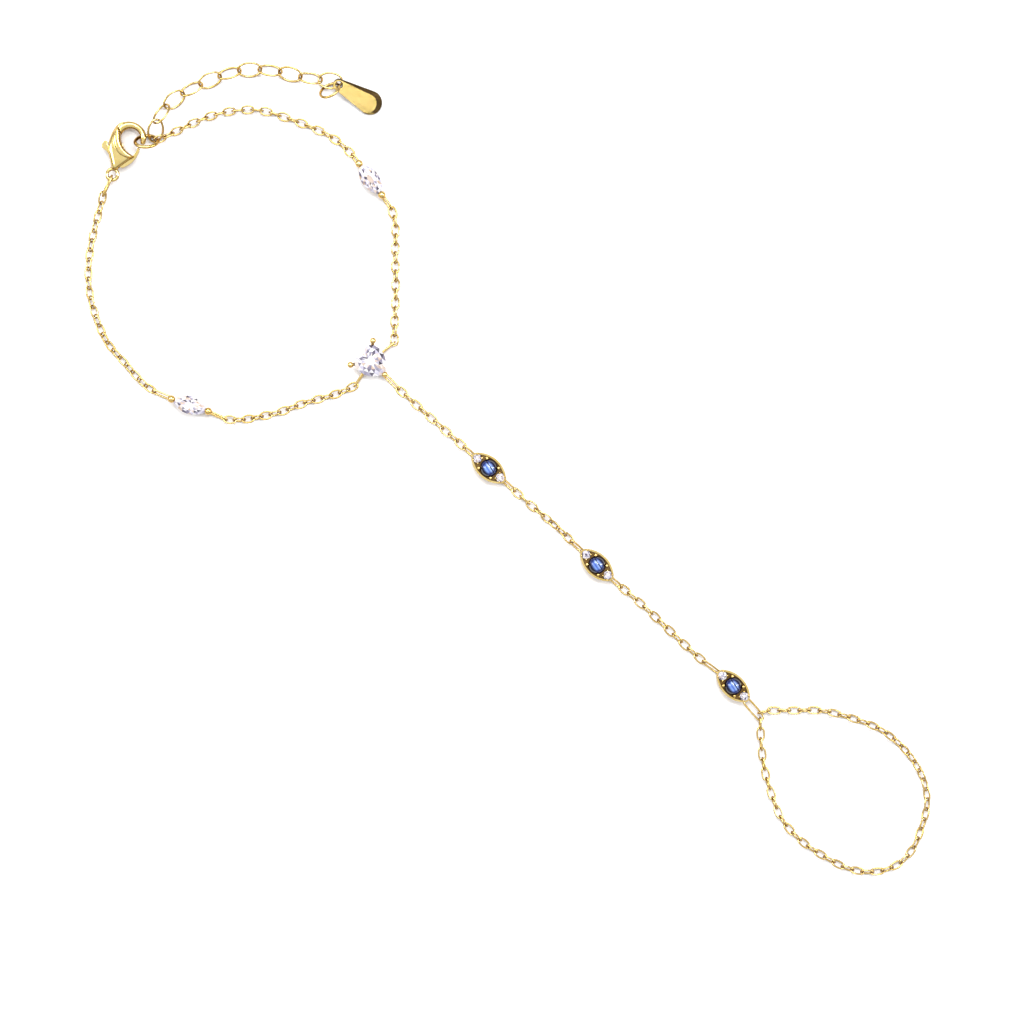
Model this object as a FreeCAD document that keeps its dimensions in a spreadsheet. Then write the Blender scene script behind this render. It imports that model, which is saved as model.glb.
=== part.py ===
import FreeCAD, Part
import math
import os
import Sketcher

# A hand chain bracelet that lies on a flat surface: a wrist loop, a chain over the back of the hand
# and a finger loop. Millimetres. X is right and Y is up in plan, Z is up, and the surface is Z = 0.
# The origin is under the middle of the whole jewel's box.

doc = FreeCAD.newDocument("hand_chain_bracelet")

Vector = FreeCAD.Vector
Rotation = FreeCAD.Rotation
Placement = FreeCAD.Placement
UP = Vector(0, 0, 1)
ALONG = Vector(1, 0, 0)

# Driving dimensions: alias, value, meaning
DIMENSIONS = (
    ("box_shift_x", 0.074, "plan shift that centres the box on the origin"),
    ("box_shift_y", 0.018, "plan shift that centres the box on the origin"),
    ("chain_wire", 0.30, "diameter of the cable chain's wire"),
    ("link_play", 0.15, "play between two linked wires"),
    ("chain_height", 0.78, "height of every chain's axis above the surface"),
    ("long_pitch", 1.667, "pitch of the longer cable link"),
    ("long_width", 1.50, "outer width of the longer cable link"),
    ("short_pitch", 1.54, "pitch of the shorter cable link"),
    ("short_width", 1.56, "outer width of the shorter cable link"),
    ("link_round", 0.53, "radius of a cable link's rounded end"),
    ("extender_wire", 0.36, "diameter of the extender's wire"),
    ("extender_pitch", 3.35, "pitch of the extender's links"),
    ("extender_width", 2.90, "outer width of an extender link"),
    ("extender_round", 1.00, "radius of an extender link's rounded end"),
    ("extender_height", 1.05, "height of the extender's axis above the surface"),
    ("jump_ring_mean", 1.85, "mean radius of the ring in the clasp's hook"),
    ("jump_ring_wire", 0.56, "its wire diameter"),
    ("tag_ring_mean", 1.70, "mean radius of the ring at the extender's end"),
    ("tag_ring_wire", 0.44, "its wire diameter"),
    ("clasp_link_wire", 0.40, "wire of the oval link at the clasp's base"),
    ("clasp_link_half_length", 1.81, "its centreline half length"),
    ("clasp_link_half_width", 0.85, "its centreline half width"),
    ("clasp_link_round", 0.70, "its rounded end's radius"),
    ("clasp_middle", 1.35, "height of the clasp's middle plane"),
    ("clasp_thickness", 2.50, "thickness of the clasp's shell"),
    ("clasp_slot", 0.90, "height of the slot that holds the lever"),
    ("lever_thickness", 0.70, "thickness of the lever"),
    ("hook_radius", 2.14, "mean radius of the clasp's hook"),
    ("rib_radius", 2.88, "mean radius of the rib that carries the hook on"),
    ("hook_half_wide", 0.52, "half width of the hook's section in plan"),
    ("hook_half_high", 0.52, "half height of the hook's section"),
    ("clasp_eye_mean", 0.90, "mean radius of the clasp's base ring"),
    ("clasp_eye_wire", 0.29, "wire radius of the clasp's base ring"),
    ("pin_radius", 0.20, "radius of the lever's pivot pin"),
    ("pin_play", 0.05, "radial play of the lever on its pin"),
    ("hub_radius", 0.55, "radius of the lever's hub"),
    ("tag_thickness", 0.45, "thickness of the teardrop tag"),
    ("tag_round", 2.00, "radius of the tag's wide end"),
    ("tag_lug", 1.02, "radius of the tag's lug"),
    ("tag_lug_hole", 0.58, "radius of the hole in the lug"),
    ("tag_reach", 5.85, "distance from the lug's centre to the wide end's centre"),
    ("stone_play", 0.03, "gap between a stone and its metal"),
    ("marquise_half_length", 3.0, "half length of a marquise stone"),
    ("marquise_half_width", 1.5, "half width of a marquise stone"),
    ("marquise_girdle", 1.70, "height of its girdle above the surface"),
    ("marquise_depth", 1.80, "depth from its table to its culet"),
    ("rail_half_length", 2.55, "half length of a marquise setting's base rail"),
    ("rail_half_width", 1.10, "half width of the rail"),
    ("rail_round", 0.60, "radius of the rail's rounded ends"),
    ("rail_wall", 0.35, "width of the rail's metal"),
    ("rail_height", 0.55, "height of the rail"),
    ("marquise_post", 0.42, "radius of the post behind a marquise stone's point"),
    ("marquise_bead", 0.62, "radius of the bead that is cut into its prong"),
    ("heart_girdle", 1.85, "height of the heart stone's girdle"),
    ("heart_depth", 2.30, "depth from its table to its culet"),
    ("heart_base_ring", 1.10, "mean radius of the heart setting's base ring"),
    ("heart_gallery_ring", 1.50, "mean radius of the ring above it"),
    ("heart_ring_wire", 0.20, "wire radius of both rings"),
    ("heart_post", 0.27, "radius of the heart setting's posts"),
    ("cabochon_radius", 1.45, "radius of a blue cabochon"),
    ("cabochon_base", 1.30, "height of a cabochon's flat base"),
    ("cabochon_edge", 0.40, "height of its straight edge"),
    ("cabochon_dome", 0.95, "height of its dome"),
    ("side_stone_radius", 0.75, "radius of a side stone"),
    ("side_stone_offset", 2.45, "distance of a side stone from the cabochon"),
    ("side_stone_girdle", 1.80, "height of a side stone's girdle"),
    ("side_stone_depth", 0.90, "depth from its table to its culet"),
    ("boat_half_length", 3.45, "half length of an eye setting"),
    ("boat_half_width", 1.90, "half width of an eye setting"),
    ("boat_round", 0.95, "radius of its rounded ends"),
    ("boat_height", 1.70, "height of its rim"),
    ("boat_wall", 0.30, "thickness of its wall"),
    ("boat_recess", 0.25, "depth of the deck below the rim"),
    ("boat_hollow", 0.80, "height of the hollow under the deck"),
    ("arm_wire", 0.34, "wire diameter of a setting's loop"),
    ("arm_half_width", 0.52, "centreline half width of a setting's loop"),
    ("wide_arm_half_width", 0.60, "centreline half width of the loop that holds the finger chain"),
    ("arm_flat", 0.06, "how much smaller the loop's end radius is than its half width"),
    ("prong_radius", 0.20, "radius of a cabochon's prong"),
    ("bead_radius", 0.27, "radius of the bead on a prong"),
    ("seat_opening", 1.15, "radius of the opening under a cabochon"),
    ("side_opening", 0.55, "radius of the opening under a side stone"),
    ("side_prong", 0.14, "radius of a side stone's prong"),
    ("side_bead", 0.17, "radius of the bead on it"),
)

# Sizes that follow from the others: alias, formula
DERIVED = (
    ("long_half_length", "(long_pitch + chain_wire + link_play) / 2"),
    ("long_half_width", "(long_width - chain_wire) / 2"),
    ("short_half_length", "(short_pitch + chain_wire + link_play) / 2"),
    ("short_half_width", "(short_width - chain_wire) / 2"),
    ("extender_half_length", "(extender_pitch + extender_wire + link_play) / 2"),
    ("extender_half_width", "(extender_width - extender_wire) / 2"),
    ("bore_radius", "pin_radius + pin_play"),
    ("seat_radius", "cabochon_radius + stone_play"),
    ("cabochon_swell", "(cabochon_radius ^ 2 + cabochon_dome ^ 2) / (2 * cabochon_dome)"),
    ("seat_swell", "(seat_radius ^ 2 + cabochon_dome ^ 2) / (2 * cabochon_dome)"),
    ("cabochon_height", "cabochon_edge + cabochon_dome"),
    ("seat_height", "cabochon_height + 2 * stone_play"),
)

sheet = doc.addObject("Spreadsheet::Sheet", "Dimensions")
for row, (alias, value, meaning) in enumerate(DIMENSIONS, start=1):
    sheet.set("A%d" % row, meaning)
    sheet.set("B%d" % row, str(value))
    sheet.setAlias("B%d" % row, alias)
for row, (alias, formula) in enumerate(DERIVED, start=len(DIMENSIONS) + 1):
    sheet.set("A%d" % row, "derived")
    sheet.set("B%d" % row, "=" + formula)
    sheet.setAlias("B%d" % row, alias)
doc.recompute()


def size(alias):
    return float(getattr(sheet, alias))


def bound(alias):
    return "<<Dimensions>>.%s" % alias


sheet.Label = "Dimensions"
SHIFT = Vector(size("box_shift_x"), size("box_shift_y"), 0)


def plan(x, y, z=0.0):
    return Vector(x, y, z) + SHIFT


# Document helpers

def primitive(kind, name, placement=None, **expressions):
    item = doc.addObject("Part::" + kind, name)
    for prop, expression in expressions.items():
        item.setExpression(prop, expression)
    item.Placement = placement or Placement()
    return item


def fused(name, items):
    item = doc.addObject("Part::MultiFuse", name)
    item.Shapes = items
    return item


def cut(name, base, tool):
    item = doc.addObject("Part::Cut", name)
    item.Base = base
    item.Tool = tool
    return item


def feature(name, shape, placement=None):
    item = doc.addObject("Part::Feature", name)
    item.Shape = shape
    item.Placement = placement or Placement()
    return item


def extruded(name, sketch, height):
    item = doc.addObject("Part::Extrusion", name)
    item.Base = sketch
    item.DirMode = "Normal"
    item.Symmetric = True
    item.Solid = True
    item.setExpression("LengthFwd", height)
    return item


def outline_sketch(name, start, steps):
    # Each step is the end of a line, or the middle and the end of an arc
    sketch = doc.addObject("Sketcher::SketchObject", name)
    here = Vector(*start, 0)
    for step in steps:
        ends = [Vector(*point, 0) for point in step]
        if len(ends) == 1:
            sketch.addGeometry(Part.LineSegment(here, ends[0]), False)
        else:
            sketch.addGeometry(Part.Arc(here, ends[0], ends[1]), False)
        here = ends[-1]
    return sketch


def side_radius(half_length, half_width, end_round):
    reach = half_length - end_round
    return (reach ** 2 + half_width ** 2 - end_round ** 2) / (2 * (half_width - end_round))


def oval_edges(half_length, half_width, end_round, height=0.0):
    # An oval of four tangent arcs
    side = side_radius(half_length, half_width, end_round)
    reach = half_length - end_round
    drop = side - half_width
    turn = math.atan2(drop, reach)
    arcs = (
        (reach, 0, end_round, -turn, turn),
        (0, -drop, side, turn, math.pi - turn),
        (-reach, 0, end_round, math.pi - turn, math.pi + turn),
        (0, drop, side, math.pi + turn, 2 * math.pi - turn),
    )
    edges = []
    for x, y, radius, first, last in arcs:
        circle = Part.Circle(Vector(x, y, height), UP, radius)
        edges.append(Part.ArcOfCircle(circle, first, last))
    return edges


def origin_plane(body, role):
    for item in body.Origin.OriginFeatures:
        if item.Role == role:
            return item
    raise ValueError(role)


def oval_sketch(holder, name, half_length, half_width, end_round):
    # Oval of four tangent arcs, bound to the sheet's aliases
    sketch = holder.newObject("Sketcher::SketchObject", name)
    sketch.AttachmentSupport = (origin_plane(holder, "XY_Plane"), "")
    sketch.MapMode = "FlatFace"
    values = [size(alias) for alias in (half_length, half_width, end_round)]
    length, width, rounding = bound(half_length), bound(half_width), bound(end_round)
    for arc in oval_edges(*values):
        sketch.addGeometry(arc, False)
    for first in range(4):
        sketch.addConstraint(Sketcher.Constraint("Tangent", first, 2, (first + 1) % 4, 1))
    sketch.addConstraint(Sketcher.Constraint("PointOnObject", 0, 3, -1))
    sketch.addConstraint(Sketcher.Constraint("PointOnObject", 1, 3, -2))
    sketch.addConstraint(Sketcher.Constraint("Symmetric", 0, 3, 2, 3, -1, 1))
    sketch.addConstraint(Sketcher.Constraint("Equal", 1, 3))
    end = sketch.addConstraint(Sketcher.Constraint("Radius", 0, values[2]))
    sketch.setExpression("Constraints[%d]" % end, rounding)
    reach = sketch.addConstraint(Sketcher.Constraint("DistanceX", -1, 1, 0, 3, values[0] - values[2]))
    sketch.setExpression("Constraints[%d]" % reach, "%s - %s" % (length, rounding))
    side = sketch.addConstraint(Sketcher.Constraint("Radius", 1, side_radius(*values)))
    formula = "((%s - %s) ^ 2 + %s ^ 2 - %s ^ 2) / (2 * (%s - %s))" % (
        length, rounding, width, rounding, width, rounding)
    sketch.setExpression("Constraints[%d]" % side, formula)
    return sketch


def oval_link(name, half_length, half_width, end_round, wire):
    # One closed wire link, centred on its own origin and lying in its own XY plane
    body = doc.addObject("PartDesign::Body", name)
    path = oval_sketch(body, name + "_path", half_length, half_width, end_round)
    section = body.newObject("Sketcher::SketchObject", name + "_wire")
    section.AttachmentSupport = (origin_plane(body, "XZ_Plane"), "")
    section.MapMode = "FlatFace"
    far = size(half_length)
    round_wire = Part.Circle(Vector(far, 0, 0), UP, size(wire) / 2)
    section.addGeometry(round_wire, False)
    section.addConstraint(Sketcher.Constraint("PointOnObject", 0, 3, -1))
    place = section.addConstraint(Sketcher.Constraint("DistanceX", -1, 1, 0, 3, far))
    section.setExpression("Constraints[%d]" % place, bound(half_length))
    radius = section.addConstraint(Sketcher.Constraint("Radius", 0, round_wire.Radius))
    section.setExpression("Constraints[%d]" % radius, bound(wire) + " / 2")
    pipe = body.newObject("PartDesign::AdditivePipe", name + "_pipe")
    pipe.Profile = section
    pipe.Spine = (path, ["Edge1", "Edge2", "Edge3", "Edge4"])
    return body


# Chains of links

# Master link: name, half length, half width, end radius, wire
LINKS = (
    ("long_link", "long_half_length", "long_half_width", "link_round", "chain_wire"),
    ("short_link", "short_half_length", "short_half_width", "link_round", "chain_wire"),
    ("extender_link", "extender_half_length", "extender_half_width", "extender_round", "extender_wire"),
)
masters = {link_name: oval_link(link_name, *aliases) for link_name, *aliases in LINKS}
doc.recompute()


def link_place(start, end, roll):
    # A link spans two joint points and is rolled about the line between them
    span = end - start
    yaw = math.degrees(math.atan2(span.y, span.x))
    pitch = -math.degrees(math.atan2(span.z, math.hypot(span.x, span.y)))
    return Placement((start + end) * 0.5, Rotation(yaw, pitch, roll))


# Each run of a chain: its master link, the number of links, the roll of its first link, the roll
# from link to link, the twist over the whole run and how much the rolls waver
WAVER_TURN = 2.3
RUNS = {
    "chain_upper": ("short_link", 23, 40.6, 80, -52, 0),
    "chain_right": ("short_link", 15, -12, 80, 0, 3),
    "chain_lower": ("short_link", 15, -12, 80, 0, 3),
    "chain_left": ("long_link", 23, -38, 84, 0, 3),
    "hand_chain_a": ("long_link", 9, -12, 80, 0, 3),
    "hand_chain_b": ("long_link", 8, -12, 84, 84, 0),
    "hand_chain_c": ("long_link", 11, -12, 80, 0, 3),
    "finger_chain": ("long_link", 52, -104.5, 84, -66, 0),
    "extender_chain": ("extender_link", 11, 38, -80, 0, 0),
}

# The points that each run passes through, in plan; the first and last are joints
ROUTES = {
    "chain_upper": (
        (-55.25, 55.33), (-52.97, 56.43), (-49.83, 57.83), (-46.70, 58.74),
        (-43.73, 59.15), (-40.76, 59.07), (-37.70, 58.25), (-32.34, 56.27), (-29.54, 54.95),
        (-27.23, 53.30), (-25.60, 51.70),
    ),
    "chain_right": (
        (-19.25, 42.95), (-18.64, 40.92), (-18.56, 36.30), (-18.48, 30.36), (-18.64, 24.59),
        (-18.72, 20.55),
    ),
    "chain_lower": (
        (-46.53, 8.20), (-43.40, 8.15), (-40.38, 8.70), (-37.31, 9.45), (-34.35, 10.59),
        (-28.46, 12.28), (-25.00, 13.86),
    ),
    "chain_left": (
        (-66.95, 43.82), (-67.30, 42.60), (-67.90, 40.43), (-68.74, 36.63), (-69.12, 33.00),
        (-68.99, 29.54), (-68.28, 26.24), (-67.12, 23.02), (-65.77, 20.46), (-63.69, 18.10),
        (-61.73, 15.84), (-59.57, 13.65), (-58.33, 12.79),
    ),
    "hand_chain_a": ((-18.07, 13.25), (-15.30, 10.74), (-10.23, 6.24), (-7.18, 3.55)),
    "hand_chain_b": ((0.99, -3.51), (5.03, -7.01), (7.50, -9.10), (10.48, -11.96)),
    "hand_chain_c": ((18.56, -19.39), (21.78, -22.11), (26.89, -26.89), (32.26, -31.76)),
    "finger_chain": (
        (43.00, -39.78), (44.55, -39.77), (47.85, -39.77), (51.32, -39.77), (54.62, -40.43),
        (57.75, -41.41), (61.05, -42.73), (64.19, -45.05), (66.33, -47.36), (67.98, -50.00),
        (68.97, -53.13), (68.97, -56.10), (68.15, -58.99), (66.99, -62.04), (64.76, -64.78),
        (61.71, -66.17), (58.41, -66.33), (55.61, -65.67), (52.39, -64.02), (49.50, -62.21),
        (46.86, -59.90), (44.88, -57.26), (43.56, -53.96), (42.57, -50.82), (41.91, -47.36),
        (41.60, -42.80),
    ),
    "extender_chain": (
        (-56.27, 59.73), (-53.54, 61.88), (-50.57, 63.31), (-47.52, 64.68), (-44.22, 65.59),
        (-40.92, 65.84), (-37.46, 65.34), (-34.16, 64.60), (-30.86, 64.02),
    ),
}

# Joints outside the routes, where a run lies over a ring or a loop: in plan and in height
LEADS = {
    "chain_upper": ((-57.986, 54.066, 1.362), (-56.557, 54.574, 1.104)),
    "extender_chain": ((-58.196, 54.212, 0.545), (-57.764, 57.088, 1.943)),
    "finger_chain": ((41.392, -40.185, 0.772),),
    "chain_left": ((-66.617, 45.437, 1.073),),
}
TAILS = {
    "finger_chain": ((41.519, -41.135, 0.789),),
    "extender_chain": ((-27.674, 63.864, 0.889),),
}

# Rolls that differ from their run's pattern
ROLLS = {
    ("extender_chain", 0): 26.7,
    ("extender_chain", 10): 8.4,
    ("chain_left", 0): -34.7,
    ("chain_right", 14): -1.6,
    ("chain_lower", 14): -4.4,
}


def route_joints(name, height):
    count = RUNS[name][1]
    lead = [plan(*joint) for joint in LEADS.get(name, ())]
    tail = [plan(*joint) for joint in TAILS.get(name, ())]
    curve = Part.BSplineCurve()
    curve.interpolate([plan(x, y, height) for x, y in ROUTES[name]])
    return lead + curve.discretize(Number=count + 1 - len(lead) - len(tail)) + tail


def run_places(name, height):
    master, count, first_roll, step, twist, waver = RUNS[name]
    joints = route_joints(name, height)
    places = []
    for index in range(count):
        roll = first_roll + twist * index / (count - 1) + waver * math.sin(WAVER_TURN * index)
        roll += step * (index % 2)
        roll = ROLLS.get((name, index), roll)
        places.append(link_place(joints[index], joints[index + 1], roll))
    return places


def chain(name, height):
    shape = masters[RUNS[name][0]].Shape
    links = []
    for place in run_places(name, height):
        link = shape.copy()
        link.Placement = place
        links.append(link)
    return feature(name, Part.makeCompound(links))


nodes = [chain(name, size("chain_height")) for name in RUNS if name != "extender_chain"]
nodes.append(chain("extender_chain", size("extender_height")))


# Rings

# Ring: name, mean radius, wire, centre, direction of its tilt axis in plan, tilt
RINGS = (
    ("jump_ring", "jump_ring_mean", "jump_ring_wire", (-59.426, 53.828, 1.762), 0, -52.6),
    ("tag_ring", "tag_ring_mean", "tag_ring_wire", (-29.319, 62.249, 1.535), 30.5, -48.8),
)
for name, mean, wire, centre, axis, tilt in RINGS:
    turn = Rotation(UP, axis) * Rotation(ALONG, tilt)
    ring = primitive(
        "Torus", name, Placement(plan(*centre), turn),
        Radius1=bound(mean), Radius2=bound(wire) + " / 2",
    )
    nodes.append(ring)

clasp_link = oval_link(
    "clasp_link", "clasp_link_half_length", "clasp_link_half_width", "clasp_link_round", "clasp_link_wire")
CLASP_LINK_TOP = plan(-65.122, 48.329, 1.448)
CLASP_LINK_FOOT = plan(-66.762, 44.845, 0.975)
CLASP_LINK_ROLL = 73.4
clasp_link.Placement = link_place(CLASP_LINK_TOP, CLASP_LINK_FOOT, CLASP_LINK_ROLL)
nodes.append(clasp_link)


# Clasp, in its own frame: x from its base ring to the top of its hook, y to the left

CLASP_PLACE = Placement(plan(-65.09, 48.43, size("clasp_middle")), Rotation(UP, 71.57))
HOOK_CENTRE = (6.57, -0.94)
HOOK_FROM, HOOK_TO = -99.4, 108.4
RIB_TO = 185.3
PIVOT = (1.95, -0.35)


def on_circle(centre, radius, angle):
    turn = math.radians(angle)
    return (centre[0] + radius * math.cos(turn), centre[1] + radius * math.sin(turn))


hook_radius = size("hook_radius")
rib_radius = size("rib_radius")
meet = on_circle(HOOK_CENTRE, hook_radius, HOOK_TO)
rib_centre = on_circle(meet, rib_radius, HOOK_TO + 180)
tip = on_circle(HOOK_CENTRE, hook_radius, HOOK_FROM)
hook_path = outline_sketch("hook_path", tip, (
    (on_circle(HOOK_CENTRE, hook_radius, (HOOK_FROM + HOOK_TO) / 2), meet),
    (on_circle(rib_centre, rib_radius, (HOOK_TO + RIB_TO) / 2),
     on_circle(rib_centre, rib_radius, RIB_TO)),
))
hook_section = primitive(
    "Ellipse", "hook_section",
    Placement(Vector(*tip, 0), Rotation(UP, HOOK_FROM) * Rotation(ALONG, 90) * Rotation(UP, 90)),
    MajorRadius=bound("hook_half_high"), MinorRadius=bound("hook_half_wide"),
)
hook = doc.addObject("Part::Sweep", "hook")
hook.Sections = [hook_section]
hook.Spine = (hook_path, ["Edge1", "Edge2"])
hook.Solid = True
hook.Frenet = False
hook_tip = primitive(
    "Ellipsoid", "hook_tip", Placement(Vector(*tip, 0), Rotation()),
    Radius1=bound("hook_half_high"),
    Radius2=bound("hook_half_wide"),
    Radius3=bound("hook_half_wide"),
)

shell_outline = outline_sketch("shell_outline", (0.80, 0.36), (
    ((2.15, 1.20), (3.30, 1.88)),
    ((5.30, 2.26), (7.55, 1.72)),
    ((6.45, 0.62),),
    ((4.95, -0.30), (3.96, -2.28)),
    ((2.20, -1.18), (0.80, -0.36)),
    ((0.80, 0.36),),
))
shell = extruded("shell", shell_outline, bound("clasp_thickness"))
slot_outline = outline_sketch("slot_outline", (1.32, -3.60), (
    ((5.40, -3.60),),
    ((5.40, 0.55),),
    ((4.45, 1.35),),
    ((4.45, 3.20),),
    ((1.75, 3.20),),
    ((1.35, 0.30),),
    ((1.32, -3.60),),
))
slot = extruded("slot", slot_outline, bound("clasp_slot"))
clasp_eye = primitive(
    "Torus", "clasp_eye", Radius1=bound("clasp_eye_mean"), Radius2=bound("clasp_eye_wire"))
pivot_pin = primitive(
    "Cylinder", "pivot_pin",
    Placement(Vector(*PIVOT, -size("clasp_thickness") / 2), Rotation()),
    Radius=bound("pin_radius"), Height=bound("clasp_thickness"),
)
claw = fused("claw", [shell, hook, hook_tip, clasp_eye])
clasp_body = fused("clasp_body", [cut("hollow_claw", claw, slot), pivot_pin])
clasp_body.Placement = CLASP_PLACE
nodes.append(clasp_body)

lever_thickness = bound("lever_thickness")
gate_outline = outline_sketch("gate_outline", (1.50, -1.20), (
    ((3.20, -2.62), (5.35, -2.98)),
    ((5.52, -2.78), (5.35, -2.55)),
    ((3.85, -2.05), (2.70, -0.60)),
    ((2.10, 0.10),),
    ((1.50, -0.40),),
    ((1.50, -1.20),),
))
tab_outline = outline_sketch("tab_outline", (1.68, -0.12), (
    ((3.35, 2.12),),
    ((3.55, 2.75),),
    ((3.92, 3.12), (4.55, 3.05)),
    ((4.98, 2.72), (4.62, 2.38)),
    ((3.90, 1.88),),
    ((2.28, -0.52),),
    ((1.68, -0.12),),
))
hub_outline = doc.addObject("Sketcher::SketchObject", "hub_outline")
hub_outline.addGeometry(Part.Circle(Vector(*PIVOT, 0), UP, size("hub_radius")), False)
lever_blank = fused("lever_blank", [
    extruded("gate", gate_outline, lever_thickness),
    extruded("tab", tab_outline, lever_thickness),
    extruded("hub", hub_outline, lever_thickness),
])
lever_bore = primitive(
    "Cylinder", "lever_bore", Placement(Vector(*PIVOT, -size("clasp_thickness") / 2), Rotation()),
    Radius=bound("bore_radius"), Height=bound("clasp_thickness"),
)
clasp_lever = cut("clasp_lever", lever_blank, lever_bore)
clasp_lever.Placement = CLASP_PLACE
nodes.append(clasp_lever)


# Teardrop tag: the hull of a large and a small circle, with a hole in its lug

def tag_outline(holder):
    sketch = holder.newObject("Sketcher::SketchObject", "tag_outline")
    sketch.AttachmentSupport = (origin_plane(holder, "XY_Plane"), "")
    sketch.MapMode = "FlatFace"
    lug, wide, reach = size("tag_lug"), size("tag_round"), size("tag_reach")
    lean = math.acos((lug - wide) / reach)
    small = Part.Circle(Vector(0, 0, 0), UP, lug)
    large = Part.Circle(Vector(reach, 0, 0), UP, wide)
    sketch.addGeometry(Part.ArcOfCircle(small, lean, 2 * math.pi - lean), False)
    sketch.addGeometry(Part.ArcOfCircle(large, -lean, lean), False)
    near = on_circle((0, 0), lug, math.degrees(lean))
    far = on_circle((reach, 0), wide, math.degrees(lean))
    for side in (1, -1):
        ends = [Vector(x, side * y, 0) for x, y in (near, far)]
        sketch.addGeometry(Part.LineSegment(*ends), False)
    for arc, arc_end, line, line_end in ((0, 1, 2, 1), (0, 2, 3, 1), (1, 2, 2, 2), (1, 1, 3, 2)):
        sketch.addConstraint(Sketcher.Constraint("Tangent", arc, arc_end, line, line_end))
    sketch.addConstraint(Sketcher.Constraint("Coincident", 0, 3, -1, 1))
    sketch.addConstraint(Sketcher.Constraint("PointOnObject", 1, 3, -1))
    for constraint, value, alias in (
            (Sketcher.Constraint("Radius", 0, lug), lug, "tag_lug"),
            (Sketcher.Constraint("Radius", 1, wide), wide, "tag_round"),
            (Sketcher.Constraint("DistanceX", -1, 1, 1, 3, reach), reach, "tag_reach")):
        index = sketch.addConstraint(constraint)
        sketch.setExpression("Constraints[%d]" % index, bound(alias))
    return sketch


extender_tag = doc.addObject("PartDesign::Body", "extender_tag")
tag_pad = extender_tag.newObject("PartDesign::Pad", "tag_pad")
tag_pad.Profile = tag_outline(extender_tag)
tag_pad.setExpression("Length", bound("tag_thickness"))
hole_sketch = extender_tag.newObject("Sketcher::SketchObject", "tag_hole")
hole_sketch.AttachmentSupport = (origin_plane(extender_tag, "XY_Plane"), "")
hole_sketch.MapMode = "FlatFace"
hole_sketch.addGeometry(Part.Circle(Vector(0, 0, 0), UP, size("tag_lug_hole")), False)
hole_sketch.addConstraint(Sketcher.Constraint("Coincident", 0, 3, -1, 1))
hole_radius = hole_sketch.addConstraint(Sketcher.Constraint("Radius", 0, size("tag_lug_hole")))
hole_sketch.setExpression("Constraints[%d]" % hole_radius, bound("tag_lug_hole"))
doc.recompute()
tag_hole = extender_tag.newObject("PartDesign::Pocket", "tag_pocket")
tag_hole.Profile = hole_sketch
tag_hole.Reversed = True
tag_hole.Type = "ThroughAll"
sunk = Placement(Vector(0, 0, -size("tag_thickness") / 2), Rotation())
TAG_PLACE = Placement(plan(-27.794, 63.151, 1.498), Rotation(-28.8, 9.1, 0.3))
extender_tag.Placement = TAG_PLACE * sunk
nodes.append(extender_tag)


# Faceted stones

def ring_points(outline, scale, height, between=False):
    points = [Vector(x * scale, y * scale, height) for x, y in outline]
    if not between:
        return points
    return [(first + second) * 0.5 for first, second in zip(points, points[1:] + points[:1])]


def facets(lower, upper, upper_between):
    # Triangles between two rings of points, where the upper ring may sit half a step on
    count = len(lower)
    faces = []
    for index in range(count):
        after = (index + 1) % count
        if upper_between:
            faces.append((lower[index], lower[after], upper[index]))
            faces.append((upper[index], lower[after], upper[after]))
        else:
            faces.append((lower[index], lower[after], upper[after]))
            faces.append((lower[index], upper[after], upper[index]))
    return faces


# A cut stone's levels as shares of its depth, and its table and belt as shares of its outline
CROWN, HALF_BAND, PAVILION = 0.30, 0.05, 0.70
TABLE, MARQUISE_TABLE, BELT_BEYOND_TABLE = 0.58, 0.60, 0.25
BELT_RISE = 0.62


def faceted_stone(outline, girdle, depth, table_scale=TABLE, scale=1.0):
    # Table, a belt of star and bezel facets, a thin girdle band and a pavilion down to a culet
    crown = CROWN * depth
    band = HALF_BAND * depth
    low = ring_points(outline, scale, girdle - band)
    high = ring_points(outline, scale, girdle + band)
    belt = ring_points(outline, scale * (table_scale + BELT_BEYOND_TABLE), girdle + BELT_RISE * crown, True)
    table = ring_points(outline, scale * table_scale, girdle + crown)
    culet = Vector(0, 0, girdle - PAVILION * depth)
    faces = facets(low, high, False) + facets(high, belt, True)
    count = len(outline)
    for index in range(count):
        after = (index + 1) % count
        faces.append((belt[index], table[after], table[index]))
        faces.append((belt[index], belt[after], table[after]))
        faces.append((low[after], low[index], culet))
    faces.append(tuple(table))
    shells = [Part.Face(Part.makePolygon(list(face) + [face[0]])) for face in faces]
    solid = Part.Solid(Part.makeShell(shells))
    if solid.Volume < 0:
        solid.reverse()
    return solid


def marquise_outline(half_length, half_width, sides):
    # Two arcs that meet in points
    radius = (half_length ** 2 + half_width ** 2) / (2 * half_width)
    reach = math.asin(half_length / radius)
    half = sides // 2
    upper = []
    for index in range(half):
        turn = reach - 2 * reach * index / half
        upper.append((radius * math.sin(turn), radius * math.cos(turn) - (radius - half_width)))
    return upper + [(-x, -y) for x, y in upper]


def round_outline(radius, sides):
    return [on_circle((0, 0), radius, 360.0 * index / sides) for index in range(sides)]


# Half of the heart's outline, from its tip to its notch: x along the heart, y across it
HEART_HALF = (
    (3.15, 0.00), (2.72, 0.85), (1.95, 1.68), (0.85, 2.32), (-0.35, 2.52), (-1.35, 2.30),
    (-1.98, 1.70), (-2.10, 0.95), (-1.50, 0.00),
)
heart_outline = list(HEART_HALF) + [(x, -y) for x, y in HEART_HALF[-2:0:-1]]

MARQUISE_SIDES = 16
SIDE_STONE_SIDES = 8
marquise_plan = marquise_outline(size("marquise_half_length"), size("marquise_half_width"), MARQUISE_SIDES)


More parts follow.
